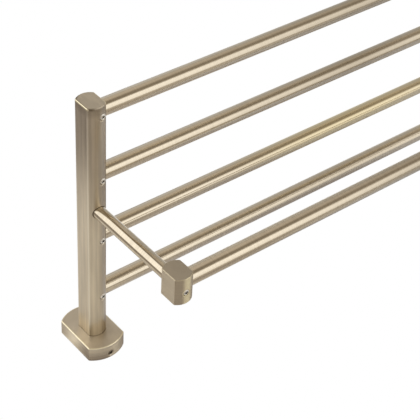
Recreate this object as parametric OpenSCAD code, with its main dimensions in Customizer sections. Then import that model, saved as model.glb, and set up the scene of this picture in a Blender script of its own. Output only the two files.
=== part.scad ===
// Wall-mounted bathroom towel shelf: four rails between two arms, and a towel bar hung below them.
// The wall is the plane y = 0, the shelf stands out from it along -Y, +Z is up, and X runs along the rails.
// The origin lies on the wall, midway between the two wall brackets and level with the arms' axes.
// The left side is modelled in its own axes (see on_left), and the right side is its mirror image.

/* [Shelf] */
// Overall width, over the outer flats of the two flanges
shelf_w = 600; // [450:10:800]
// Distance from the wall to the axis of the first rail
first_rail = 54; // [48:1:70]
// Distance between the axes of neighbouring rails
rail_pitch = 60; // [55:1:75]
// Outer diameter of the rails and of the towel bar
rail_d = 14; // [12:0.5:15]
// Wall thickness of the rail and bar tubes
rail_wall = 1; // [0.6:0.1:2]
// Drop from the arms' axes to the towel bar's axis
bar_drop = 109; // [80:1:160]

/* [Arm] */
// Diameter of the two rounds of the arm's section
arm_d = 23; // [22:0.5:26]
// Width across the two flats of the arm's section
arm_flats = 17; // [16:0.5:18]
// Wall thickness of the arm's tube
arm_wall = 2; // [1.5:0.1:2.4]
// Length of the arm past the axis of its last rail
arm_past = 10; // [10:0.5:25]
// Thickness of the plate of the arm's end cap
cap_t = 1.5; // [1:0.1:2]
// Depth that the arm's foot sits in the flange's face
arm_sink = 0.5; // [0.2:0.1:1]

/* [Flange] */
// Diameter of the two rounds of the flange
flange_d = 54; // [50:1:70]
// Width across the two flats of the flange
flange_flats = 35.5; // [32:0.5:44]
// Height of the flange off the wall
flange_t = 13.5; // [13:0.5:18]
// Thickness of the flange's side wall
flange_wall = 3; // [2:0.1:4]
// Thickness of the flange's face
flange_top = 3.5; // [3.5:0.1:4.5]
// Bevel round the edge of the flange's face
flange_bevel = 0.6; // [0.2:0.1:1]

/* [Wall bracket] */
// Thickness of the wall bracket
bracket_t = 8; // [7.5:0.5:8.5]
// Distance between the bracket's two wall screw holes
bracket_pitch = 28; // [24:1:30]
// Diameter of a wall screw hole
wall_hole_d = 5; // [4:0.1:5.5]
// Diameter of the countersink of a wall screw hole
wall_sink_d = 9; // [7:0.5:10]

/* [Drop rod and bar holder] */
// Diameter of the rod that carries the bar holder
rod_d = 11; // [10:0.1:12]
// Offset of the rod from midway between the second and third rails, away from the wall
rod_shift = 1.5; // [-4:0.5:4]
// Length of the bar holder, measured out from the wall
holder_len = 24.5; // [20:0.5:32]
// Metal left behind the towel bar's end in its holder
holder_back = 3; // [2:0.5:5]
// Bevel round both end faces of the bar holder and round the arm's cap
end_bevel = 0.4; // [0.1:0.1:0.8]

/* [Screws] */
// Diameter of the grub screws
grub_d = 5; // [4:0.5:5]
// Width across the flats of a grub screw's socket
grub_socket = 2.5; // [2:0.1:2.7]
// Distance of the rails' grub screws from the arm's axis, towards the rails
grub_offset = 3.75; // [2:0.25:4.25]
// Distance of the holder's grub screw from the middle of the holder, towards the wall
holder_grub_shift = 1.6; // [0:0.2:3]
// Distance of the flange's grub screw from the wall
flange_grub_h = 4.4; // [4:0.1:4.5]
// Diameter of the screw that holds the arm to the flange
arm_screw_d = 6; // [5:0.5:6]
// Diameter of that screw's countersunk head
arm_screw_head = 11; // [9:0.5:11]
// Diameter of the studs at the two ends of the rod
stud_d = 6; // [4:0.5:6]

/* [Fits] */
// Gap round a rail or the bar in its bore
rail_fit = 0.1; // [0.05:0.05:0.2]
// Gap round the rod in the arm and in the holder
rod_fit = 0.3; // [0.1:0.1:0.4]
// Gap round the slugs and the cap's lip inside the arm
slug_fit = 0.1; // [0.05:0.05:0.2]
// Gap between a screw and its thread
thread_fit = 0.05; // [0.02:0.01:0.1]
// Gap between the bracket and the flange round it
bracket_fit = 0.25; // [0.1:0.05:0.4]
// Gap at the ends of rails, screws and lips
end_gap = 0.2; // [0.1:0.05:0.4]

/* [Hidden] */
$fn = 96;

rail_count = 4;
cut = 1;                // overrun of every cut past the face that it opens
corner_break = 0.4;     // width taken off the corners where the flats meet the rounds
rod_chamfer = 0.3;      // chamfer on the ends of the rod, the studs and the screws
seat_land = 0.2;        // depth of a rod's seat below the shoulders of the round that it enters
hole_sink = 0.6;        // countersink at the mouth of a grub screw's hole
grub_socket_depth = 1.8;
point_depth = 1.2;      // depth that the flange's grub screw enters the bracket
bracket_bevel = 0.8;
plug_len = 14;          // threaded plug in the arm's foot
arm_screw_grip = 10;    // length of the arm screw in the plug
arm_screw_fit = 0.3;    // gap round the arm screw in the flange
arm_screw_socket = 4;
arm_screw_socket_depth = 1.8;
anchor_len = 22;        // threaded slug in the arm, behind the rod
stud_grip = 8;          // length of a stud in the rod and in the anchor
recess_fit = 0.15;      // gap round the arm's foot in the flange's face

bronze = [0.66, 0.59, 0.47];
steel = [0.78, 0.78, 0.76];
zinc = [0.62, 0.63, 0.64];

arm_x = (shelf_w - flange_flats) / 2;
arm_r = arm_d / 2;
arm_foot = flange_t - arm_sink;
arm_end = first_rail + (rail_count - 1) * rail_pitch + arm_past;
hollow_d = arm_d - 2 * arm_wall;
hollow_flats = arm_flats - 2 * arm_wall;
rail_r = rail_d / 2;
rail_bore_r = rail_r + rail_fit;
grub_hole_d = grub_d + 2 * thread_fit;
stud_hole_d = stud_d + 2 * thread_fit;
rod_hole_r = rod_d / 2 + rod_fit;
rod_z = rail_z(1) + rail_pitch / 2 + rod_shift;
arm_seat = half_height(hollow_d / 2, rod_hole_r) - seat_land;
holder_seat = half_height(arm_r, rod_hole_r) - seat_land;
flange_floor = flange_t - flange_top;
arm_screw_head_h = (arm_screw_head - arm_screw_d) / 2;
bracket_d = flange_d - 2 * (flange_wall + bracket_fit);
bracket_flats = flange_flats - 2 * (flange_wall + bracket_fit);

// Distance of a rail's axis from the wall, counted from 0
function rail_z(i) = first_rail + i * rail_pitch;
// Height of a circle of radius r at the distance x from its axis
function half_height(r, x) = sqrt(r * r - x * x);

// Side frames: x points from the arm towards the rails, y is up and z points out of the wall
module on_left() {
    translate([-arm_x, 0, 0])
        rotate([90, 0, 0])
            children();
}

module on_right() {
    mirror([1, 0, 0])
        on_left()
            children();
}

// Section shared by the arms, flanges, brackets and holders: a circle cut by two flats, its corners broken
module two_flat_section(d, flats, corner = 0) {
    side = flats / 2;
    corner_y = half_height(d / 2, side);
    slope = atan2(corner_y, side) / 2;
    y = corner_y - corner;
    peak = y + side / tan(slope);
    intersection() {
        circle(d = d);
        polygon([[side, y], [0, peak], [-side, y], [-side, -y], [0, -peak], [side, -y]]);
    }
}

// Solid of that section from z = 0 to h, with a bevel at its foot and one at its top
module two_flat_block(d, flats, h, foot = 0, top = 0) {
    r = d / 2;
    side = flats / 2;
    intersection() {
        linear_extrude(h)
            two_flat_section(d, flats, corner_break);
        rotate_extrude()
            polygon([[0, 0], [r - foot, 0], [r, foot], [r, h - top], [r - top, h], [0, h]]);
        translate([0, r, 0])
            rotate([90, 0, 0])
                linear_extrude(d)
                    polygon([
                        [foot - side, 0], [side - foot, 0], [side, foot], [side, h - top],
                        [side - top, h], [top - side, h], [-side, h - top], [-side, foot]
                    ]);
    }
}

// Cut for the inside of a tube or a recess of that section, from z = 0 to h
module two_flat_cut(d, flats, h) {
    linear_extrude(h)
        two_flat_section(d, flats);
}

// Turns a z axis to point down, along -y of the side frame
module facing_down() {
    rotate([90, 0, 0])
        children();
}

// Hole for a grub screw, from z = 0 out to the surface at h, with its countersink there
module grub_hole(h) {
    r = grub_hole_d / 2;
    cylinder(r = r, h = h + cut);
    translate([0, 0, h - hole_sink])
        cylinder(r1 = r, r2 = r + hole_sink + cut, h = hole_sink + cut);
}

// Socket grub screw of length h, its point at z = 0 and its hexagon socket at h
module grub_screw(h) {
    r = grub_d / 2;
    difference() {
        rotate_extrude()
            polygon([
                [0, 0], [r - rod_chamfer, 0], [r, rod_chamfer],
                [r, h - rod_chamfer], [r - rod_chamfer, h], [0, h]
            ]);
        translate([0, 0, h - grub_socket_depth])
            cylinder(d = grub_socket / cos(30), h = grub_socket_depth + cut, $fn = 6);
    }
}

// Threaded stud of length h, chamfered at both ends
module stud(h) {
    r = stud_d / 2;
    rotate_extrude()
        polygon([
            [0, 0], [r - rod_chamfer, 0], [r, rod_chamfer],
            [r, h - rod_chamfer], [r - rod_chamfer, h], [0, h]
        ]);
}

// Plate screwed to the wall inside the flange, with two countersunk holes and a socket for the grub screw
module bracket_shape() {
    difference() {
        two_flat_block(bracket_d, bracket_flats, bracket_t, top = bracket_bevel);
        for (side = [-1, 1])
            translate([0, side * bracket_pitch / 2, 0]) {
                translate([0, 0, -cut])
                    cylinder(d = wall_hole_d, h = bracket_t + 2 * cut);
                translate([0, 0, bracket_t - (wall_sink_d - wall_hole_d) / 2])
                    cylinder(
                        d1 = wall_hole_d,
                        d2 = wall_sink_d + 2 * cut,
                        h = (wall_sink_d - wall_hole_d) / 2 + cut
                    );
            }
        translate([0, 0, flange_grub_h])
            facing_down()
                translate([0, 0, bracket_d / 2 - point_depth])
                    cylinder(d = grub_d + 2 * bracket_fit, h = point_depth + cut);
    }
}

// Hollow flange: open to the wall, with a recess for the arm's foot and a countersunk hole under it
module flange_shape() {
    difference() {
        two_flat_block(flange_d, flange_flats, flange_t, top = flange_bevel);
        translate([0, 0, -cut])
            two_flat_cut(flange_d - 2 * flange_wall, flange_flats - 2 * flange_wall, flange_floor + cut);
        translate([0, 0, arm_foot])
            two_flat_cut(arm_d + 2 * recess_fit, arm_flats + 2 * recess_fit, arm_sink + cut);
        cylinder(d = arm_screw_d + 2 * arm_screw_fit, h = flange_t);
        translate([0, 0, flange_floor])
            cylinder(d1 = arm_screw_head, d2 = arm_screw_d, h = arm_screw_head_h);
        translate([0, 0, flange_grub_h])
            facing_down()
                grub_hole(flange_d / 2);
    }
}

// Grub screw that locks the flange on its bracket
module flange_grub_shape() {
    tip = bracket_d / 2 - point_depth + end_gap;
    translate([0, -tip, flange_grub_h])
        facing_down()
            grub_screw(flange_d / 2 - end_gap - tip);
}

// Countersunk screw, from inside the flange into the plug in the arm's foot
module arm_screw_shape() {
    translate([0, 0, flange_floor])
        difference() {
            union() {
                cylinder(d1 = arm_screw_head, d2 = arm_screw_d, h = arm_screw_head_h);
                cylinder(d = arm_screw_d, h = flange_top - arm_sink + arm_screw_grip);
            }
            translate([0, 0, -cut])
                cylinder(d = arm_screw_socket / cos(30), h = arm_screw_socket_depth + cut, $fn = 6);
        }
}

// Threaded slug fixed in the foot of the arm's tube
module arm_plug_shape() {
    translate([0, 0, arm_foot])
        difference() {
            two_flat_cut(hollow_d - 2 * slug_fit, hollow_flats - 2 * slug_fit, plug_len);
            translate([0, 0, -cut])
                cylinder(d = arm_screw_d + 2 * thread_fit, h = plug_len + 2 * cut);
        }
}

// Tube of the arm: bored for the rails in its inner flat, and for grub screws and the rod underneath
module arm_shape() {
    difference() {
        translate([0, 0, arm_foot])
            two_flat_block(arm_d, arm_flats, arm_end - cap_t - arm_foot);
        translate([0, 0, arm_foot - cut])
            two_flat_cut(hollow_d, hollow_flats, arm_end - arm_foot + cut);
        for (i = [0 : rail_count - 1])
            translate([0, 0, rail_z(i)]) {
                translate([-hollow_flats / 2, 0, 0])
                    rotate([0, 90, 0])
                        cylinder(r = rail_bore_r, h = hollow_flats + arm_wall + cut);
                translate([grub_offset, 0, 0])
                    facing_down()
                        grub_hole(half_height(arm_r, grub_offset));
            }
        translate([0, 0, rod_z])
            facing_down()
                cylinder(r = rod_hole_r, h = arm_r + cut);
    }
}

// Cap that closes the arm's end: a bevelled plate with a lip inside the tube, clear of the last rail
module arm_cap_shape() {
    lip = arm_past - cap_t - rail_bore_r - end_gap;
    translate([0, 0, arm_end - cap_t]) {
        two_flat_block(arm_d, arm_flats, cap_t, top = end_bevel);
        translate([0, 0, -lip])
            two_flat_cut(hollow_d - 2 * slug_fit, hollow_flats - 2 * slug_fit, lip + cap_t / 2);
    }
}

// Grub screws that clamp the rails from below, flush with the arm at their axes
module rail_grubs_shape() {
    tip = rail_r + thread_fit;
    for (i = [0 : rail_count - 1])
        translate([grub_offset, -tip, rail_z(i)])
            facing_down()
                grub_screw(half_height(arm_r, grub_offset) - tip);
}

// Threaded slug inside the arm, with a flat seat for the rod's end
module rod_anchor_shape() {
    difference() {
        translate([0, 0, rod_z - anchor_len / 2])
            two_flat_cut(hollow_d - 2 * slug_fit, hollow_flats - 2 * slug_fit, anchor_len);
        translate([0, -arm_seat, rod_z])
            facing_down()
                cylinder(r = rod_hole_r, h = arm_r);
        translate([0, stud_grip + end_gap - arm_seat, rod_z])
            facing_down()
                cylinder(d = stud_hole_d, h = stud_grip + end_gap + cut);
    }
}

// Stud between the anchor and the rod
module upper_stud_shape() {
    translate([0, stud_grip - arm_seat, rod_z])
        facing_down()
            stud(2 * stud_grip);
}

// Rod from its seat in the arm down to its seat in the holder, drilled at both ends for the studs
module drop_rod_shape() {
    len = bar_drop - holder_seat - arm_seat;
    r = rod_d / 2;
    hole = stud_grip + end_gap;
    translate([0, -arm_seat, rod_z])
        facing_down()
            difference() {
                rotate_extrude()
                    polygon([
                        [0, 0], [r - rod_chamfer, 0], [r, rod_chamfer],
                        [r, len - rod_chamfer], [r - rod_chamfer, len], [0, len]
                    ]);
                translate([0, 0, -cut])
                    cylinder(d = stud_hole_d, h = hole + cut);
                translate([0, 0, len - hole])
                    cylinder(d = stud_hole_d, h = hole + cut);
            }
}

// Stud between the rod and the holder, ending clear of the towel bar
module lower_stud_shape() {
    foot = rail_bore_r + end_gap;
    top = holder_seat + stud_grip;
    translate([0, top - bar_drop, rod_z])
        facing_down()
            stud(top - foot);
}

// Block that holds the towel bar's end: blind bore in its inner flat, rod seat above, grub screw below
module bar_holder_shape() {
    translate([0, -bar_drop, rod_z])
        difference() {
            translate([0, 0, -holder_len / 2])
                two_flat_block(arm_d, arm_flats, holder_len, foot = end_bevel, top = end_bevel);
            translate([holder_back - arm_flats / 2, 0, 0])
                rotate([0, 90, 0])
                    cylinder(r = rail_bore_r, h = arm_flats);
            translate([0, holder_seat, 0])
                rotate([-90, 0, 0])
                    cylinder(r = rod_hole_r, h = arm_r);
            rotate([-90, 0, 0])
                cylinder(d = stud_hole_d, h = arm_r);
            translate([0, 0, -holder_grub_shift])
                facing_down()
                    grub_hole(arm_r);
        }
}

// Grub screw that clamps the towel bar in its holder
module holder_grub_shape() {
    tip = rail_r + thread_fit;
    translate([0, -bar_drop - tip, rod_z - holder_grub_shift])
        facing_down()
            grub_screw(arm_r - tip);
}

// Tube along X, of the given half length
module cross_tube(half) {
    rotate([0, 90, 0])
        difference() {
            cylinder(r = rail_r, h = 2 * half, center = true);
            cylinder(r = rail_r - rail_wall, h = 2 * (half + cut), center = true);
        }
}

module shelf_rail(i) {
    color(bronze)
        translate([0, -rail_z(i), 0])
            cross_tube(arm_x + hollow_flats / 2 - end_gap);
}

module shelf_rail_1() { shelf_rail(0); }
module shelf_rail_2() { shelf_rail(1); }
module shelf_rail_3() { shelf_rail(2); }
module shelf_rail_4() { shelf_rail(3); }

module towel_bar() {
    color(bronze)
        translate([0, -rod_z, -bar_drop])
            cross_tube(arm_x + arm_flats / 2 - holder_back - end_gap);
}

module left_wall_bracket() { color(zinc) on_left() bracket_shape(); }
module left_flange() { color(bronze) on_left() flange_shape(); }
module left_flange_grub_screw() { color(steel) on_left() flange_grub_shape(); }
module left_arm_screw() { color(steel) on_left() arm_screw_shape(); }
module left_arm_plug() { color(zinc) on_left() arm_plug_shape(); }
module left_arm() { color(bronze) on_left() arm_shape(); }
module left_arm_cap() { color(bronze) on_left() arm_cap_shape(); }
module left_rail_grub_screws() { color(steel) on_left() rail_grubs_shape(); }
module left_rod_anchor() { color(zinc) on_left() rod_anchor_shape(); }
module left_upper_stud() { color(steel) on_left() upper_stud_shape(); }
module left_drop_rod() { color(bronze) on_left() drop_rod_shape(); }
module left_lower_stud() { color(steel) on_left() lower_stud_shape(); }
module left_bar_holder() { color(bronze) on_left() bar_holder_shape(); }
module left_holder_grub_screw() { color(steel) on_left() holder_grub_shape(); }

module right_wall_bracket() { color(zinc) on_right() bracket_shape(); }
module right_flange() { color(bronze) on_right() flange_shape(); }
module right_flange_grub_screw() { color(steel) on_right() flange_grub_shape(); }
module right_arm_screw() { color(steel) on_right() arm_screw_shape(); }
module right_arm_plug() { color(zinc) on_right() arm_plug_shape(); }
module right_arm() { color(bronze) on_right() arm_shape(); }
module right_arm_cap() { color(bronze) on_right() arm_cap_shape(); }
module right_rail_grub_screws() { color(steel) on_right() rail_grubs_shape(); }
module right_rod_anchor() { color(zinc) on_right() rod_anchor_shape(); }
module right_upper_stud() { color(steel) on_right() upper_stud_shape(); }
module right_drop_rod() { color(bronze) on_right() drop_rod_shape(); }
module right_lower_stud() { color(steel) on_right() lower_stud_shape(); }
module right_bar_holder() { color(bronze) on_right() bar_holder_shape(); }
module right_holder_grub_screw() { color(steel) on_right() holder_grub_shape(); }

left_wall_bracket();
left_flange();
left_flange_grub_screw();
left_arm_screw();
left_arm_plug();
left_arm();
left_arm_cap();
left_rail_grub_screws();
left_rod_anchor();
left_upper_stud();
left_drop_rod();
left_lower_stud();
left_bar_holder();
left_holder_grub_screw();
right_wall_bracket();
right_flange();
right_flange_grub_screw();
right_arm_screw();
right_arm_plug();
right_arm();
right_arm_cap();
right_rail_grub_screws();
right_rod_anchor();
right_upper_stud();
right_drop_rod();
right_lower_stud();
right_bar_holder();
right_holder_grub_screw();
shelf_rail_1();
shelf_rail_2();
shelf_rail_3();
shelf_rail_4();
towel_bar();
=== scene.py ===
"""Wall-mounted towel shelf with a towel bar, in brushed antique bronze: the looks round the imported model."""

import math

import bmesh
import bpy
from mathutils import Matrix, Vector


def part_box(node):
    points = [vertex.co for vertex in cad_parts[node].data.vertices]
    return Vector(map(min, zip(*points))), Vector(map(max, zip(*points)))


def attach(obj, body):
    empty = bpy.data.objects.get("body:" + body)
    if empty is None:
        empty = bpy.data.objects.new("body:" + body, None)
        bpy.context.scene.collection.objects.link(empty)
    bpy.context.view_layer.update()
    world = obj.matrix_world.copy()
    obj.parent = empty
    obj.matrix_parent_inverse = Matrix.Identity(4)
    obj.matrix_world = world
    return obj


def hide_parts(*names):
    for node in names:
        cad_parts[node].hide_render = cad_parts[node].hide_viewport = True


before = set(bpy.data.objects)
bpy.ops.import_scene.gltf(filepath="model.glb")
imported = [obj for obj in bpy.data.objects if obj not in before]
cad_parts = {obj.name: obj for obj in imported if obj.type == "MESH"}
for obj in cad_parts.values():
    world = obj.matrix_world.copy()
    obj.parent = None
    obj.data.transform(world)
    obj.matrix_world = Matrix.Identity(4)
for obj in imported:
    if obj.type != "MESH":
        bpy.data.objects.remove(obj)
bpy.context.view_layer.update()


# Camera. It looks from below and in front, with the way out of the wall (-Y) up in the picture,
# because the shelf was photographed standing on its flanges.
SENSOR, FOCAL_LENGTH, NEAREST = 36, 112.81, 0.01
CAMERA_PLACE = Matrix((
    (0.778484, 0.368389, -0.508185, -0.7316),
    (-0.050520, -0.770243, -0.635747, -0.7973),
    (-0.625628, 0.520593, -0.581011, -0.6539),
    (0, 0, 0, 1),
))

lens = bpy.data.cameras.new("photo_camera")
lens.sensor_width, lens.lens, lens.clip_start = SENSOR, FOCAL_LENGTH, NEAREST
camera = bpy.data.objects.new("photo_camera", lens)
camera.matrix_world = CAMERA_PLACE
bpy.context.scene.collection.objects.link(camera)
bpy.context.scene.camera = camera
bpy.context.scene.view_settings.view_transform = "Standard"


# Studio. A tall soft box stands on each side and a small one hangs high in front, the room is dim, its ceiling is
# dark, and all is white beyond the shelf. Heights over the table and turns towards the right soft box are in degrees.
RAD = math.pi / 180
OUT = Vector((0, -1, 0))
FRONT, RIGHT = Vector((-0.738, 0, -0.675)), Vector((0.675, 0, -0.738))
BEYOND, BEYOND_CONE = Vector((0.508, 0.636, 0.581)), (38, 27)
DIM_HEIGHT, DIM_TURN, DIM_CONE = 24 * RAD, 176 * RAD, (18, 8)
DIM_BACK = OUT * math.sin(DIM_HEIGHT) + math.cos(DIM_HEIGHT) * (
    FRONT * math.cos(DIM_TURN) + RIGHT * math.sin(DIM_TURN))
RIGHT_BOX_TURN, RIGHT_BOX_HEIGHT, RIGHT_BOX_LIGHT = (62, 105, 6), (-1, 38.5, 3.5), 1.09
LEFT_BOX_TURN, LEFT_BOX_HEIGHT, LEFT_BOX_LIGHT = (-112, -60, 8), (3, 50, 5), 1.42
FRONT_BOX_TURN, FRONT_BOX_HEIGHT, FRONT_BOX_LIGHT = (4, 56, 8), (33, 52, 4), 0.5
BACK_TURN, LEFT_TURN, CEILING_HEIGHT = (115, 168), (-60, -20), (42, 49)
LOW_LEFT_HEIGHT, LOW_RIGHT_HEIGHT, BACK_HEIGHT = (-12, 4), (-34, -10), (8, 30, 6)
WALL_LIGHT, CEILING_LIGHT = 0.5, 0.22
WHITE, WARM_GLOW, COOL_GLOW = (1, 1, 1, 1), (1.14, 0.98, 0.79, 1), (1.01, 1.0, 0.99, 1)


class Tone:
    """A shader socket that sums are written with: each operator adds its Math node to the tree."""

    def __init__(self, tree, socket=None):
        self.tree, self.socket = tree, socket

    def node(self, kind, sockets=None, out=0, **settings):
        """Adds a node, its settings first and then its sockets' values or links, and gives one output."""
        made = self.tree.nodes.new(kind)
        for name, value in settings.items():
            setattr(made, name, value)
        for name, value in (sockets or {}).items():
            if isinstance(value, Tone):
                self.tree.links.new(value.socket, made.inputs[name])
            else:
                made.inputs[name].default_value = value
        return Tone(self.tree, made.outputs[out])

    def maths(self, operation, *values):
        return self.node("ShaderNodeMath", dict(enumerate(values)), operation=operation)

    def __add__(self, other):
        return self.maths("ADD", self, other)

    def __sub__(self, other):
        return self.maths("SUBTRACT", self, other)

    def __rsub__(self, other):
        return self.maths("SUBTRACT", other, self)

    def __mul__(self, other):
        return self.maths("MULTIPLY", self, other)

    def __neg__(self):
        return self * -1

    __radd__, __rmul__ = __add__, __mul__

    def size(self):
        return self.maths("ABSOLUTE", self)

    def most(self, *others):
        """The largest of this value and the others."""
        largest = self
        for other in others:
            largest = self.maths("MAXIMUM", largest, other)
        return largest

    def reach(self, other):
        """The length of the diagonal whose two sides are this value and the other."""
        return self.maths("SQRT", self * self + other * other)

    def rise(self, low, high):
        """0 below low, 1 above high, and a soft step between them."""
        sockets = {"Value": self, "From Min": low, "From Max": high}
        return self.node("ShaderNodeMapRange", sockets, interpolation_type="SMOOTHSTEP")

    def fall(self, low, high):
        """1 below low, 0 above high, and a soft step between them."""
        return 1 - self.rise(low, high)

    def band(self, low, high, soft):
        """1 between low and high, with soft edges of that width."""
        return self.rise(low - soft, low) * self.fall(high, high + soft)

    def blend(self, low, high):
        """Mixes two colours, low where this value is 0 and high where it is 1."""
        return self.node("ShaderNodeMix", {0: self, 6: low, 7: high}, 2, data_type="RGBA")

    def parts(self):
        """The X, Y and Z of a place or direction."""
        cut = self.node("ShaderNodeSeparateXYZ", {0: self}).socket.node
        return [Tone(self.tree, part) for part in cut.outputs]


world = bpy.data.worlds.new("studio")
world.use_nodes = True
bpy.context.scene.world = world
sky = Tone(world.node_tree)
toward = sky.node("ShaderNodeTexCoord", out="Generated")


def facing(axis):
    """The cosine of the angle between a direction and the axis."""
    return sky.node("ShaderNodeVectorMath", {0: toward, 1: axis}, "Value", operation="DOT_PRODUCT")


def cone(axis, outer, inner):
    """1 within the inner angle of the axis and 0 beyond the outer one."""
    return facing(axis).rise(math.cos(outer * RAD), math.cos(inner * RAD))


height = sky.maths("ARCSINE", facing(OUT)) * (1 / RAD)
turn = sky.maths("ARCTAN2", facing(RIGHT), facing(FRONT)) * (1 / RAD)
back = turn.size().rise(*BACK_TURN)
left = turn.fall(*LEFT_TURN)
ceiling = height.rise(*CEILING_HEIGHT)
low_left = left * (1 - back) * height.fall(*LOW_LEFT_HEIGHT)
low_right = (1 - left) * (1 - back) * height.fall(*LOW_RIGHT_HEIGHT)
back_wall = back * height.band(*BACK_HEIGHT)
walls = WALL_LIGHT - 0.28 * low_left - 0.15 * low_right + 0.08 * back_wall - 0.08 * cone(DIM_BACK, *DIM_CONE)
room = walls * (1 - ceiling) + (CEILING_LIGHT + 0.3 * back) * ceiling
right_box = turn.band(*RIGHT_BOX_TURN) * height.band(*RIGHT_BOX_HEIGHT)
left_box = turn.band(*LEFT_BOX_TURN) * height.band(*LEFT_BOX_HEIGHT)
front_box = turn.band(*FRONT_BOX_TURN) * height.band(*FRONT_BOX_HEIGHT)
light = (
    room * (1 - right_box) * (1 - left_box)
    + (RIGHT_BOX_LIGHT + 0.14 * height.rise(0, 26)) * right_box
    + LEFT_BOX_LIGHT * left_box
    + FRONT_BOX_LIGHT * front_box
)
low_back = back * height.fall(30, 50)
tint = light.rise(0.2, 1.0).most(low_back).blend(WARM_GLOW, COOL_GLOW)
glow = sky.node("ShaderNodeBackground", {"Color": tint, "Strength": light})
white = sky.node("ShaderNodeBackground", {"Color": WHITE, "Strength": 1.0})
mirrored = sky.node("ShaderNodeLightPath", out="Is Glossy Ray") * cone(BEYOND, *BEYOND_CONE)
seen = sky.node("ShaderNodeLightPath", out="Is Camera Ray").most(mirrored)
sky.tree.links.new(
    sky.node("ShaderNodeMixShader", {0: seen, 1: glow, 2: white}).socket,
    sky.tree.nodes["World Output"].inputs["Surface"],
)


# Floor and table. The floor lies a metre and a half below the shelf, white to the camera and shaded by what is over
# it. The table that the flanges were stood on shows only in the bronze, and its paint is painted light and shade:
# white round the near flange, dimmer further off, with a painted shadow of the flange at its foot, a painted glare
# beside it and painted bright and dim patches. It is cut away behind the shelf.
MM = 0.001


def mm(*lengths):
    """Lengths given in millimetres."""
    return [length * MM for length in lengths]


FLOOR_Z, FLOOR_HALF, FLOOR_FADE = -1.5, 4, (0.6, 3.2)
FLOOR_GREY, FLOOR_LIFT = (0.8, 0.8, 0.8, 1), 0.35
ARM_X, FLANGE_R, FLANGE_SIDE = mm(282.25, 27, 17.75)
TABLE_Y, TABLE_END = mm(1.5, 900)
CUT_SIDE, CUT_REAR, CUT_ABOVE = mm(-60, -97, 110)
TABLE_FAR, TABLE_CLOSE, TABLE_LIFT = 0.38, 0.79, 0.2
LEFT_PART, RIGHT_PART, BEYOND_PART = mm(-110, -20), mm(10, 90), mm(240, 330)
NEAR_PART, NEAR_LEFT_PART, FRONT_PART = mm(165, 215), mm(165, 310), mm(220, 265)
SHADE_REACH, SHADE_DEPTH, GLARE_REACH = mm(30, 46), 0.66, mm(27, 36)
COOL_DARK, WARM_DARK = (0, 0.01, 0.06, 1), (0.04, 0, 0, 1)
COOL_WHITE, WARM_WHITE = (0.97, 1, 1.07, 1), (1, 0.985, 0.93, 1)


def sheet(name, corners):
    """A flat sheet with the given corners, and its paint."""
    mesh = bpy.data.meshes.new(name)
    shape = bmesh.new()
    shape.faces.new([shape.verts.new(corner) for corner in corners])
    shape.to_mesh(mesh)
    shape.free()
    made = bpy.data.objects.new(name, mesh)
    bpy.context.scene.collection.objects.link(made)
    paint = bpy.data.materials.new(name + "_paint")
    paint.use_nodes = True
    paint.node_tree.nodes.remove(paint.node_tree.nodes["Principled BSDF"])
    mesh.materials.append(paint)
    return made, Tone(paint.node_tree)


def matt(paint, colour, glow_colour, glow_strength):
    """A matt surface that also glows a little."""
    flat = paint.node("ShaderNodeBsdfDiffuse", {"Color": colour})
    lift = paint.node("ShaderNodeEmission", {"Color": glow_colour, "Strength": glow_strength})
    return paint.node("ShaderNodeAddShader", {0: flat, 1: lift})


def painted(paint, share, first, second):
    """Finishes a sheet: the first surface where the share is 0 and the second where it is 1."""
    surface = paint.node("ShaderNodeMixShader", {0: share, 1: first, 2: second})
    paint.tree.links.new(surface.socket, paint.tree.nodes["Material Output"].inputs["Surface"])


def from_outline(aside, along, radius, side):
    """How far a place lies outside a round of the radius that has a flat on each side."""
    return (aside.reach(along) - radius).most(aside.size() - side)


corners = [(-FLOOR_HALF, -FLOOR_HALF), (FLOOR_HALF, -FLOOR_HALF), (FLOOR_HALF, FLOOR_HALF), (-FLOOR_HALF, FLOOR_HALF)]
floor, paint = sheet("floor", [(x, y, FLOOR_Z) for x, y in corners])
floor.visible_glossy = False
x, y, z = paint.node("ShaderNodeTexCoord", out="Object").parts()
white = paint.node("ShaderNodeEmission", {"Color": WHITE, "Strength": 1.0})
shaded = matt(paint, FLOOR_GREY, WHITE, FLOOR_LIFT)
lit = paint.node("ShaderNodeMixShader", {0: x.reach(y).rise(*FLOOR_FADE), 1: shaded, 2: white})
from_below = paint.node("ShaderNodeNewGeometry", out="Backfacing")
painted(paint, from_below, lit, paint.node("ShaderNodeBsdfTransparent"))

foot = Vector((-ARM_X, TABLE_Y, 0))
table, paint = sheet("table", [
    foot + RIGHT * CUT_SIDE + FRONT * CUT_REAR,
    foot + RIGHT * CUT_SIDE - FRONT * TABLE_END,
    foot - RIGHT * TABLE_END - FRONT * TABLE_END,
    foot - RIGHT * TABLE_END + FRONT * TABLE_END,
    Vector((TABLE_END, TABLE_Y, -TABLE_END)),
    Vector((TABLE_END, TABLE_Y, CUT_ABOVE)),
])
table.visible_camera = False
x, y, z = paint.node("ShaderNodeTexCoord", out="Object").parts()
free = from_outline(x.size() - ARM_X, z, FLANGE_R, FLANGE_SIDE).rise(*mm(-2, -1))
x = x + ARM_X
ahead, aside = FRONT.x * x + FRONT.z * z, RIGHT.x * x + RIGHT.z * z
away = ahead.reach(aside)
on_left = aside.fall(*LEFT_PART)
on_right = aside.rise(*RIGHT_PART) * ahead.fall(*mm(-20, 60))
beyond = aside.rise(*BEYOND_PART) * ahead.fall(*mm(0, 50))
in_front = ahead.rise(*mm(30, 120)) * away.fall(*FRONT_PART)
near = away.fall(*NEAR_PART) * (1 - on_left) + on_left * away.fall(*NEAR_LEFT_PART)
far = TABLE_FAR + 0.12 * on_right + 0.17 * beyond + 0.13 * in_front
close = TABLE_CLOSE + 0.07 * on_left - 0.22 * on_right
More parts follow.
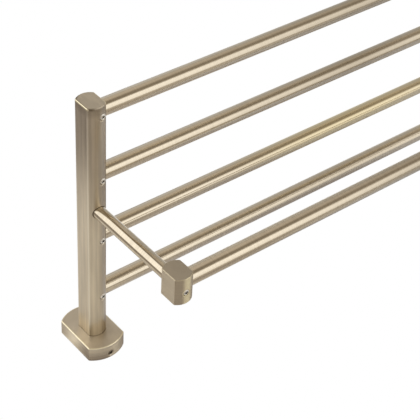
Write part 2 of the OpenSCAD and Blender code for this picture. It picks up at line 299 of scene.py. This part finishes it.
# Painted shadow of the near flange on the table, in front of its foot and behind it.
shade = away.fall(*SHADE_REACH) * (ahead.rise(*mm(13, 24)) + 0.9 * ahead.fall(*mm(-6, 12)))
glare = aside.fall(*mm(-24, -15)) * away.fall(*GLARE_REACH)
bright_patch = (ahead - 60 * MM).reach(aside - 252 * MM).fall(*mm(20, 60))
dim_patch = (ahead - 88 * MM).reach(aside + 95 * MM).fall(*mm(30, 75))
painted_light = far + near * (close - far) + 0.2 * glare - 0.2 * dim_patch + 0.13 * bright_patch
warmth = (ahead + 0.2 * aside.size()).rise(*mm(-25, 25))
dark, pale = beyond.blend(WARM_DARK, COOL_DARK), warmth.blend(COOL_WHITE, WARM_WHITE)
tone = (painted_light * (1 - SHADE_DEPTH * shade)).blend(dark, pale)
painted(paint, free, paint.node("ShaderNodeBsdfTransparent"), matt(paint, tone, tone, TABLE_LIFT + 0.2 * glare))


# Wall brackets: zinc die castings inside the flanges, each held to the wall by two countersunk screws.
# The casting is dull and finely pitted, and the flange's grub screw bites into its lower edge.
SIDES = ("left", "right")
ZINC_DARK, ZINC_PALE = (0.42, 0.43, 0.45, 1), (0.60, 0.61, 0.63, 1)
PIT_DEPTH = 0.06 * MM
NOISE_SPAN = (0.3, 0.7)


def bare_metal(name, **constants):
    """A metal finish: what is the same all over is set on the shader's own sockets."""
    material = bpy.data.materials.new(name)
    material.use_nodes = True
    shader = material.node_tree.nodes["Principled BSDF"]
    shader.inputs["Metallic"].default_value = 1
    for socket, value in constants.items():
        shader.inputs[socket.replace("_", " ")].default_value = value
    tree = Tone(material.node_tree)
    return material, tree, tree.node("ShaderNodeTexCoord", out="Object")


def coat_with(tree, **looks):
    """Links what changes over the surface to the shader."""
    shader = tree.tree.nodes["Principled BSDF"]
    for socket, value in looks.items():
        tree.tree.links.new(value.socket, shader.inputs[socket.replace("_", " ")])


def grain(place, stretch, detail=3.0, rough=0.6):
    """Noise from 0 to 1 with so many patches to a metre along each axis."""
    spread = place.node("ShaderNodeMapping", {"Vector": place, "Scale": stretch})
    return place.node("ShaderNodeTexNoise", {"Vector": spread, "Scale": 1, "Detail": detail, "Roughness": rough})


def relief(pattern, depth, **below):
    """Bumps of that depth, laid over the ones below if there are any."""
    return pattern.node("ShaderNodeBump", {"Height": pattern, "Distance": depth, "Strength": 1.0, **below})


def dress(material, name):
    """Gives the finish to the left and the right node of that name."""
    for side in SIDES:
        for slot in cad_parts[f"{side}_{name}"].material_slots:
            slot.material = material


casting, tree, place = bare_metal("zinc_casting")
pits, skin = grain(place, (900, 900, 900)), grain(place, (120, 120, 120))
coat_with(
    tree,
    Base_Color=skin.rise(*NOISE_SPAN).blend(ZINC_DARK, ZINC_PALE),
    Roughness=0.35 + 0.3 * pits,
    Normal=relief(pits, PIT_DEPTH),
)
dress(casting, "wall_bracket")


# Flanges: hollow two-flat covers of brass over the brackets, bevelled round the face, antiqued, brushed and
# lacquered. The bevel is rubbed lighter, and oxide stays in the seam round the arm's foot.
BRONZE, FLANGE_BRONZE = (0.67, 0.59, 0.46, 1), (0.75, 0.67, 0.535, 1)
OXIDE_AND_SHADE, RUBBED_AND_LIT = (0.20, 0.155, 0.105, 1), (0.97, 0.88, 0.62, 1)
BRUSHED_SHARE, BRUSHED_ROUGHER, OXIDE_ROUGHER, BRUSHED_DEPTH = 0.6, 0.14, 0.2, 0.02 * MM
FLANGE_TOP = 13.5 * MM
ARM_R, ARM_SIDE = mm(11.5, 8.5)
WELD, FLAT_WITHIN, SMOOTH_WITHIN = 0.001 * MM, 0.5 * RAD, 30 * RAD
FAR_X, FAR_Y = (1000, 0, 0), (0, 1000, 0)


def own_copy(node, finish, brushed_round=None):
    """Replaces a node by a merged copy in its own finish, with the small bevels shaded as rounded edges.

    The mesh's texture space, set far off along an axis, makes the brushing run round that axis.
    """
    shape = bmesh.new()
    shape.from_mesh(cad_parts[node].data)
    bmesh.ops.remove_doubles(shape, verts=shape.verts, dist=WELD)
    bmesh.ops.dissolve_limit(shape, angle_limit=FLAT_WITHIN, verts=shape.verts, edges=shape.edges)
    for face in shape.faces:
        face.smooth = True
    for edge in shape.edges:
        edge.smooth = edge.is_manifold and edge.calc_face_angle() < SMOOTH_WITHIN
    draft = bpy.data.meshes.new(node + "_draft")
    shape.to_mesh(draft)
    shape.free()
    made = bpy.data.objects.new(node + "_metal", draft)
    bpy.context.scene.collection.objects.link(made)
    made.modifiers.new("rounded_bevels", "WEIGHTED_NORMAL").keep_sharp = True
    ready = made.evaluated_get(bpy.context.evaluated_depsgraph_get())
    mesh = bpy.data.meshes.new_from_object(ready)
    made.modifiers.clear()
    made.data = mesh
    bpy.data.meshes.remove(draft)
    mesh.name = node + "_metal"
    mesh.materials.clear()
    mesh.materials.append(finish)
    if brushed_round is not None:
        mesh.use_auto_texspace = False
        mesh.texspace_location = brushed_round
        mesh.texspace_size = (1, 1, 1)
    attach(made, "root")
    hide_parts(node)


def bronze_coat(tree, brushing, cloud, oxide_and_shade=None, rubbed_and_lit=None, rough=0.3, body=BRONZE, bright=RUBBED_AND_LIT,
                spread=0.13, depth=BRUSHED_DEPTH, dent=None, dent_depth=0):
    """Antique bronze: a brushed body colour that varies by the spread, with oxide left in the seams and painted shade
    in the same dark colour, and the edges rubbed bright with painted highlights in the same light colour. A dent is a
    low place that no edge of the mesh follows."""
    dark, pale = ([(1 + step) * c for c in body[:3]] + [1] for step in (-spread, spread))
    streaks = (BRUSHED_SHARE * brushing + (1 - BRUSHED_SHARE) * cloud).rise(*NOISE_SPAN)
    colour = streaks.blend(dark, pale)
    dullness = rough + BRUSHED_ROUGHER * (brushing - 0.5)
    if oxide_and_shade:
        colour = oxide_and_shade.blend(colour, OXIDE_AND_SHADE)
        dullness = dullness + OXIDE_ROUGHER * oxide_and_shade
    if rubbed_and_lit:
        colour = rubbed_and_lit.blend(colour, bright)
    bumps = relief(brushing, depth)
    if dent:
        bumps = relief(dent, dent_depth, Normal=bumps)
    coat_with(tree, Base_Color=colour, Roughness=dullness, Normal=bumps)


def from_axis(place):
    """How far out from the arm's axis, towards the shelf's end, and the place's own Y and Z."""
    x, y, z = place.parts()
    return x.size() - ARM_X, y, z


def behind(y, face, near, far):
    """0 up to the near distance behind a face that looks out from the wall, and 1 from the far one on."""
    return y.rise(-face + near * MM, -face + far * MM)


flange_bronze, tree, place = bare_metal("flange_bronze", Anisotropic=0.7)
out, y, z = from_axis(place)
edge = from_outline(out, z, FLANGE_R, FLANGE_SIDE)
rim = edge.rise(*mm(-1.3, -0.6)) * (1 - behind(y, FLANGE_TOP, 0.4, 0.8))
from_arm = from_outline(out, z, ARM_R, ARM_SIDE)
# Beyond the oxide in the seam, a wider ring of painted shade lies round the arm's foot, and the flange is darker over
# its upper half.
foot_seam, upper_half_and_foot_shade = from_arm.fall(*mm(0, 0.4)), z.rise(*mm(2, 16)).most(from_arm.fall(*mm(1, 9)))
bronze_coat(
    tree, grain(place, (14, 1300, 14)), grain(place, (60, 60, 60)), oxide_and_shade=(0.6 * foot_seam).most(0.16 * upper_half_and_foot_shade),
    rubbed_and_lit=0.8 * rim, rough=0.36, body=FLANGE_BRONZE,
)
for side in SIDES:
    own_copy(f"{side}_flange", flange_bronze, FAR_X)


# Arm plugs: threaded zinc slugs pressed into the feet of the arms. The arm screw comes into each from inside the
# flange and draws arm and flange together. They are cast like the brackets and out of sight.
dress(casting, "arm_plug")


# Arms: brass tube drawn with two flats, bored for the rails, the rod and the grub screws, and brushed lengthwise.
# The outer corners carry a painted highlight, and oxide stays round the bores and in the cap's seam.
ARM_HIGHLIGHT = (0.90, 0.83, 0.69, 1)
CORNER_Z = math.sqrt(ARM_R ** 2 - ARM_SIDE ** 2)
CAP_SEAM = 241.3 * MM
FIRST_RAIL, RAIL_PITCH, RAIL_R = mm(54, 60, 7)
ROD_Y, ROD_R = mm(145.5, 5.5)
GRUB_IN, GRUB_R = mm(3.75, 2.5)

arm_bronze, tree, place = bare_metal("arm_bronze", Anisotropic=0.7, Anisotropic_Rotation=0.25)
out, y, z = from_axis(place)
# A painted shade lies on the arm just under the cap, fading out from 1 to 7 mm below its seam.
clear_of_cap_shade = behind(y, CAP_SEAM, 1, 7)
corner = (out.size() - ARM_SIDE).reach(z.size() - CORNER_Z)
# Painted highlight along the outer corners, fainter close to the cap.
corner_highlight = corner.fall(*mm(0.5, 1.1)) * out.rise(*mm(-1, 1)) * (0.4 + 0.6 * clear_of_cap_shade)
# Darker strips: along the inner corners away from the wall, and on the outer flat just above its lower corner near
# the cap.
inner_corner = corner.fall(*mm(2.6, 3.8)) * out.fall(*mm(-5, -4)) * y.fall(*mm(-90, -60))
outer_flat = out.rise(*mm(8, 8.4)) * y.fall(*mm(-215, -185))
beside_corner = (z + CORNER_Z).band(*mm(1.0, 2.2, 0.5)) * outer_flat
rod_seam = (out.reach(y + ROD_Y) - ROD_R).fall(*mm(0.1, 0.7)) * z.fall(*mm(-5, -4))
rail_off = tree.maths("WRAP", -y - FIRST_RAIL, -RAIL_PITCH / 2, RAIL_PITCH / 2)
rail_seam = (rail_off.reach(z) - RAIL_R).fall(*mm(0.1, 0.9)) * out.fall(*mm(-8, -7))
# Each grub screw's mouth carries a painted shadow on its outer half and a painted highlight on its inner half.
grub_mouth = (rail_off.reach(out + GRUB_IN) - GRUB_R).band(*mm(-0.2, 0.35, 0.2)) * z.fall(*mm(-6, -5))
mouth_shadow_side = (out + GRUB_IN).rise(*mm(-0.4, 0.8))
cap_seam = 1 - behind(y, CAP_SEAM, 0, 0.8)
foot_seam = y.rise(-FLANGE_TOP - 0.5 * MM, -FLANGE_TOP)
bronze_coat(
    tree, grain(place, (420, 6, 420), detail=5.0, rough=0.7), grain(place, (160, 14, 160)),
    oxide_and_shade=(0.7 * rod_seam.most(rail_seam, 0.5 * foot_seam)).most(
        0.35 * cap_seam, 0.5 * inner_corner, 0.25 * beside_corner, 0.28 * (1 - clear_of_cap_shade),
        0.9 * grub_mouth * mouth_shadow_side),
    rubbed_and_lit=(0.85 * corner_highlight).most(grub_mouth * (1 - mouth_shadow_side)), bright=ARM_HIGHLIGHT, spread=0.17,
)
for side in SIDES:
    own_copy(f"{side}_arm", arm_bronze, FAR_X)


# Arm caps: bevelled brass plates with a lip that is pressed into the arm's outer end.
# Their face is flat-brushed like the arm, and the bevel is rubbed light over the flats and dark over the round.
CAP_FACE = 244 * MM

cap_bronze, tree, place = bare_metal("cap_bronze", Anisotropic=0.7, Anisotropic_Rotation=0.25)
out, y, z = from_axis(place)
edge = from_outline(out, z, ARM_R, ARM_SIDE)
over_flat = out.size().rise(*mm(7.2, 8.0))
rim = edge.rise(*mm(-1.0, -0.5)) * over_flat
# The bevel over the outer part of the round is darker.
darker_round_bevel = edge.rise(*mm(-1.6, -0.8)) * (1 - over_flat) * out.rise(*mm(1, 6))
bronze_coat(
    tree, grain(place, (900, 14, 40)), grain(place, (60, 60, 60)),
    oxide_and_shade=(0.6 * behind(y, CAP_FACE, 1.1, 1.5)).most(0.8 * darker_round_bevel), rubbed_and_lit=0.8 * rim, rough=0.32,
)
for side in SIDES:
    own_copy(f"{side}_arm_cap", cap_bronze, FAR_X)


# Shelf rails and towel bar: five lengths of 14 mm brass tube, polished round on a belt so that fine lines run round
# them. Their ends sit in the bores of the arms and holders. The coat has darkened towards the middle, and the second
# rail has stayed golden there.
TUBE_BRONZE, GOLDEN = (0.77, 0.68, 0.53, 1), (0.82, 0.70, 0.42, 1)
SECOND_RAIL = FIRST_RAIL + RAIL_PITCH
BELT_DEPTH = 0.004 * MM

tube_bronze, tree, place = bare_metal("tube_bronze", Anisotropic=0.7)
x, y, z = place.parts()
middle = x.size().fall(*mm(-120, 270))
by_wall = y.rise(*mm(-80, -60))
golden = (y + SECOND_RAIL).size().fall(*mm(10, 20)) * x.size().fall(*mm(20, 170))
bronze_coat(
    tree, grain(place, (800, 9, 9)), grain(place, (5, 900, 900)),
    oxide_and_shade=0.52 * middle * (1 - 0.4 * golden - 0.3 * by_wall), rubbed_and_lit=0.6 * golden, bright=GOLDEN,
    body=TUBE_BRONZE, rough=0.18, spread=0.09, depth=BELT_DEPTH,
)
for name in ("shelf_rail_1", "shelf_rail_2", "shelf_rail_3", "shelf_rail_4", "towel_bar"):
    own_copy(name, tube_bronze, FAR_Y)


# Rod anchors: cast zinc slugs fixed in the arms behind the drop rods. Each has a tapped hole for the rod's stud and
# a flat seat that shows only as the floor of the rod's bore.
dress(casting, "rod_anchor")


# Drop rods: turned brass rods that carry the bar holders, polished finer than the arms and lacquered. A stud at each
# end draws them up tight against the anchor and the holder, and oxide stays in both seams.
ROD_TOP, ROD_FOOT = mm(-11.0, -97.6)

rod_bronze, tree, place = bare_metal("rod_bronze", Anisotropic=0.6, Anisotropic_Rotation=0.25)
out, y, z = from_axis(place)
top_seam, foot_seam = z.rise(ROD_TOP - 0.7 * MM, ROD_TOP), z.fall(ROD_FOOT - 1.4 * MM, ROD_FOOT)
bronze_coat(
    tree, grain(place, (20, 20, 700)), grain(place, (80, 80, 30)),
    oxide_and_shade=0.6 * top_seam.most(foot_seam), rough=0.11,
)
for side in SIDES:
    own_copy(f"{side}_drop_rod", rod_bronze)


# Bar holders: solid two-flat brass blocks on the rods' ends, bored from the inner side for the towel bar and brushed
# round. The middle of the round carries a painted highlight and the rest a faint painted shade, and the outer face
# has kept its oxide. The mouth of the screw hole is broken by a countersink.
HOLDER_Z, HOLDER_END, HOLDER_BACK, HOLDER_GRUB_Y = mm(-109, 157.75, 133.25, 143.9)
LIP_WIDTH, LIP_DEPTH = mm(0.8, 0.45)
OTHER_SIDE = 20 * MM

holder_bronze, tree, place = bare_metal("holder_bronze", Anisotropic=0.8)
out, y, z = from_axis(place)
edge = from_outline(out, z - HOLDER_Z, ARM_R, ARM_SIDE)
rim = edge.rise(*mm(-0.55, -0.2)) * (1 - behind(y, HOLDER_END, 0.3, 0.7))
face = (1 - behind(y, HOLDER_END, 0.1, 0.4)) * (1 - rim)
rod_side = y.rise(-HOLDER_BACK - 0.7 * MM, -HOLDER_BACK - 0.1 * MM)
# Painted highlight along the middle of the round; the rest of the holder is painted a little darker.
round_highlight = (out + 0.8 * MM).size().fall(*mm(1.0, 5.0))
hole = (y + HOLDER_GRUB_Y).reach(out) - GRUB_R + OTHER_SIDE * z.rise(HOLDER_Z, HOLDER_Z + 1 * MM)
lip = hole.band(-0.2 * MM, LIP_WIDTH, 0.2 * MM)
bronze_coat(
    tree, grain(place, (14, 1100, 14)), grain(place, (60, 60, 60)),
    oxide_and_shade=(0.5 * rod_side).most(0.35 * face, 0.16 * (1 - round_highlight)),
    rubbed_and_lit=(0.5 * rim).most(round_highlight * (1 - face), lip), rough=0.5, spread=0.08,
    dent=hole.rise(0, LIP_WIDTH), dent_depth=LIP_DEPTH,
)
for side in SIDES:
    own_copy(f"{side}_bar_holder", holder_bronze, FAR_X)


# Arm screws and studs: M6 steel. The arm screws are countersunk with a hexagon socket, and each stud is a cut
# length of threaded rod with both ends chamfered. All of them are hidden once the shelf is together.
THREAD_DEPTH, CUP_DEPTH, SCREW_CHAMFER = mm(0.28, 0.35, 0.3)
SOCKET_DEPTH, SOCKET_CHAMFER, DRILL_POINT, LIT_DEPTH = mm(1.1, 0.12, 0.4, 0.3)
SOCKET_RIM, WALLS_FROM, WALLS_TO = 1.2, 0.9, 1.16
ARM_SCREW_HEAD, ARM_SCREW_FLAT = mm(2.5, 2)
THREAD_SHARP = 25 * RAD
SHADE_SLOT = 1
OUTWARD = Matrix.Rotation(-math.pi / 2, 4, "X")


def spun(profile, steps=48):
    """A closed turned shape from the radius and height of each point on its profile, spun round Z."""
    shape = bmesh.new()
    line = [shape.verts.new((r, 0, h)) for r, h in profile]
    edges = [shape.edges.new(pair) for pair in zip(line, line[1:])]
    bmesh.ops.spin(
        shape, geom=line + edges, cent=(0, 0, 0), axis=(0, 0, 1), angle=2 * math.pi, steps=steps, use_merge=True)
    bmesh.ops.remove_doubles(shape, verts=shape.verts, dist=WELD)
    bmesh.ops.recalc_face_normals(shape, faces=shape.faces)
    return shape


def thread(r, low, high):
    """Profile points of a thread between two heights. Its pitch is a third of the radius, as in M5 and M6 screws."""
    turns = int(3 * (high - low) / r)
    rise = (high - low) / turns
    points = []
    for i in range(turns):
        crest, root, next_crest = (low + (i + part) * rise for part in (0.1, 0.5, 0.9))
        points += [(r, crest), (r - THREAD_DEPTH, root), (r, next_crest)]
    return points


def socket_screw(r, length, top, flat):
    """A screw with its point at z = 0 and a hexagon socket at the length. The top is its form between the two."""
    c = SCREW_CHAMFER
    bottom = length - SOCKET_DEPTH
    profile = [(0, CUP_DEPTH), (r - 4 * c, 0), (r - 3 * c, 0), (r, 2.4 * c)] + thread(r, 2.4 * c, top[0][1]) + top
    profile += [(flat * SOCKET_RIM, length), (flat, length - SOCKET_CHAMFER), (flat, length - LIT_DEPTH)]
    profile += [(flat, bottom), (0, bottom - DRILL_POINT)]
    shape = spun(profile)
    for vert in shape.verts:
        if abs(vert.co.xy.length - flat) < 10 * WELD:
            off_flat = math.atan2(vert.co.y, vert.co.x) % (60 * RAD) - 30 * RAD
            vert.co.xy *= 1 / math.cos(off_flat)
    for face in shape.faces:
        middle = face.calc_center_median()
        if WALLS_FROM * flat < middle.xy.length < WALLS_TO * flat and bottom < middle.z < length - LIT_DEPTH:
            face.material_index = SHADE_SLOT
    return shape


def screw_piece(side, node, shape, places, finishes):
    """Joins the shape, set down in each place, into one piece that stands for the node."""
    name = f"{side}_{node}_steel"
    whole = bmesh.new()
    for place in places:
        part = bpy.data.meshes.new(name + "_part")
        shape.to_mesh(part)
        part.transform(place)
        whole.from_mesh(part)
        bpy.data.meshes.remove(part)
    for face in whole.faces:
        face.smooth = True
    for edge in whole.edges:
        edge.smooth = edge.is_manifold and edge.calc_face_angle() < THREAD_SHARP
    bmesh.ops.recalc_face_normals(whole, faces=whole.faces)
    mesh = bpy.data.meshes.new(name)
    whole.to_mesh(mesh)
    whole.free()
    for finish in finishes:
        mesh.materials.append(finish)
    made = bpy.data.objects.new(name, mesh)
    bpy.context.scene.collection.objects.link(made)
    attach(made, "root")
    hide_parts(f"{side}_{node}")


def screw_finish(name, dull, bright, rough):
    """Plain steel that varies a little between the two colours."""
    material, tree, place = bare_metal(name)
    skin = grain(place, (700, 700, 700))
    coat_with(tree, Base_Color=skin.rise(*NOISE_SPAN).blend(dull, bright), Roughness=rough + 0.15 * skin)
    return material


steel = screw_finish("screw_steel", (0.90, 0.87, 0.80, 1), (0.97, 0.95, 0.89, 1), 0.28)
# The socket's walls, below a lit rim, take a painted shade.
socket_shade = screw_finish("socket_shade_steel", (0.06, 0.055, 0.05, 1), (0.12, 0.11, 0.10, 1), 0.4)
for side in SIDES:
    low, high = (Vector(c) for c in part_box(f"{side}_arm_screw"))
    middle, length = (low + high) / 2, high.y - low.y
    r = high.z - middle.z
    head = [(r - ARM_SCREW_HEAD, length - ARM_SCREW_HEAD), (r, length)]
    screw = socket_screw(r - ARM_SCREW_HEAD, length, head, ARM_SCREW_FLAT)
    seat = Matrix.Translation((middle.x, low.y, middle.z)) @ OUTWARD
    screw_piece(side, "arm_screw", screw, [seat], [steel, socket_shade])
    screw.free()
    for node in ("upper_stud", "lower_stud"):
        low, high = (Vector(c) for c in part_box(f"{side}_{node}"))
        middle, length, r, c = (low + high) / 2, high.z - low.z, (high.x - low.x) / 2, SCREW_CHAMFER
        profile = [(0, 0), (r - 2 * c, 0), (r, 2 * c)] + thread(r, 2 * c, length - 2 * c)
        stud = spun(profile + [(r, length - 2 * c), (r - 2 * c, length), (0, length)])
        screw_piece(side, node, stud, [Matrix.Translation((middle.x, middle.y, low.z))], [steel])
        stud.free()


# Socket grub screws: M5 stainless screws with a cut thread, a domed end with a hexagon socket, and a cup point. One
# locks each flange on its bracket, four under each arm hold the rails, and one under each holder clamps the bar.
SOCKET_FLAT, EDGE_R, DOME_H = mm(1.25, 0.2, 0.35)
DOME_IN, DOME_SHARE = 0.2 * MM, 0.8
DOWNWARD = Matrix.Rotation(math.pi, 4, "X")

# The flange's grub screw is darker than the others.
dark_steel = screw_finish("dark_steel", (0.20, 0.17, 0.13, 1), (0.36, 0.31, 0.24, 1), 0.35)
for side in SIDES:
    for node in ("flange_grub_screw", "rail_grub_screws", "holder_grub_screw"):
        low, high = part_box(f"{side}_{node}")
        x, point, mouth = (low[0] + high[0]) / 2, high[2], low[2]
        along = [(low[1] + high[1]) / 2]
        if node == "rail_grub_screws":
            along = [-FIRST_RAIL - i * RAIL_PITCH for i in range(4)]
            mouth = -math.sqrt(ARM_R ** 2 - GRUB_IN ** 2)
        length = point - mouth
        dome = [
            (GRUB_R - EDGE_R + EDGE_R * math.sin(a * RAD), length - DOME_H - EDGE_R + EDGE_R * math.cos(a * RAD))
            for a in range(90, 0, -15)
        ] + [(GRUB_R - EDGE_R - DOME_IN, length - DOME_SHARE * DOME_H)]
        screw = socket_screw(GRUB_R, length, dome, SOCKET_FLAT)
        places = [Matrix.Translation((x, y, point)) @ DOWNWARD for y in along]
        screw_piece(side, node, screw, places, [dark_steel if node == "flange_grub_screw" else steel, socket_shade])
        screw.free()
